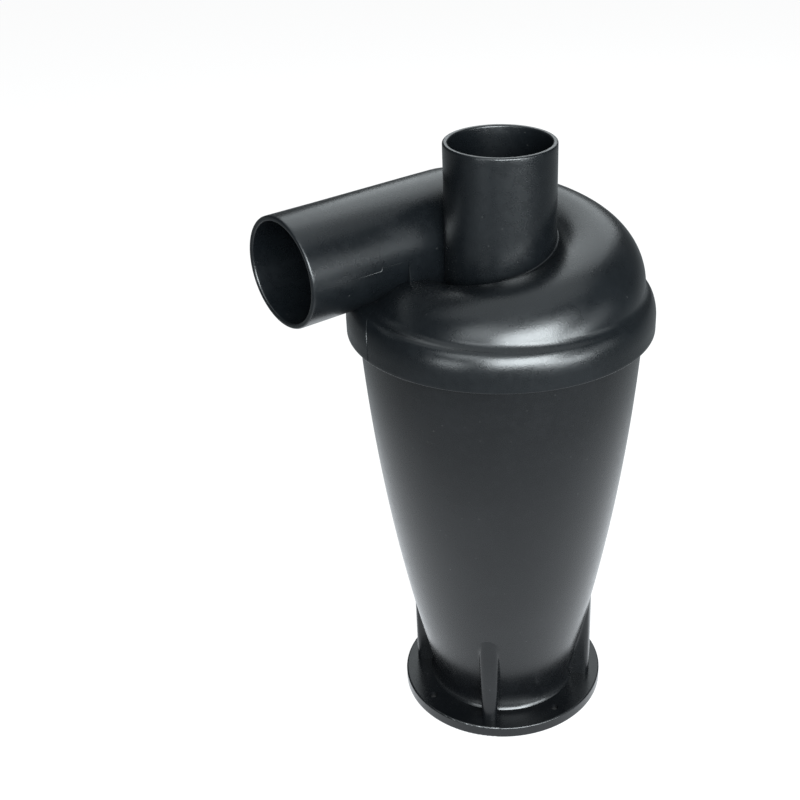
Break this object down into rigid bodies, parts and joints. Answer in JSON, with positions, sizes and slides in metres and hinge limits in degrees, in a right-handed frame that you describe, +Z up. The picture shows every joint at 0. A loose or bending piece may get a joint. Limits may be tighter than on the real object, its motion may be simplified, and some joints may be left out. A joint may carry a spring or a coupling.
{
  "type": "cyclone dust separator",
  "caption": "Small moulded plastic cyclone dust separator: side inlet spigot winding into a helical roof, central outlet tube, tapering cone body and a drilled foot flange with ribs",
  "frame": {"origin": "centre of the underside of the foot flange, on the axis of the cone", "axes": "+Z up along the cyclone axis and out of the outlet tube; the inlet spigot opens toward -X at +Y of the axis"},
  "size_m": [0.1604, 0.1412, 0.292],
  "materials": {
    "head_plastic": "satin black moulding with a fine even grain",
    "body_plastic": "smoother semi-gloss black moulding"
  },
  "bodies": {
    "root": {"apron_far": "head_plastic", "apron_near": "head_plastic", "base_flange": "body_plastic", "cap_shoulder": "head_plastic", "cap_skirt": "head_plastic", "cone_collar": "body_plastic", "cone_lower": "body_plastic", "cone_upper": "body_plastic", "deck_back": "head_plastic", "deck_front": "head_plastic", "foot_fillet": "body_plastic", "inlet_duct": "head_plastic", "inlet_spout": "head_plastic", "outlet_tube": "head_plastic", "rib_1": "body_plastic", "rib_2": "body_plastic", "rib_3": "body_plastic", "rib_4": "body_plastic", "seat_ring": "head_plastic", "snap_catch_1": "head_plastic", "snap_catch_2": "head_plastic", "snap_catch_3": "head_plastic", "snap_catch_4": "head_plastic", "volute_1": "head_plastic", "volute_2": "head_plastic", "volute_3": "head_plastic", "volute_4": "head_plastic", "volute_5": "head_plastic", "vortex_finder": "head_plastic"}
  },
  "joints": []
}
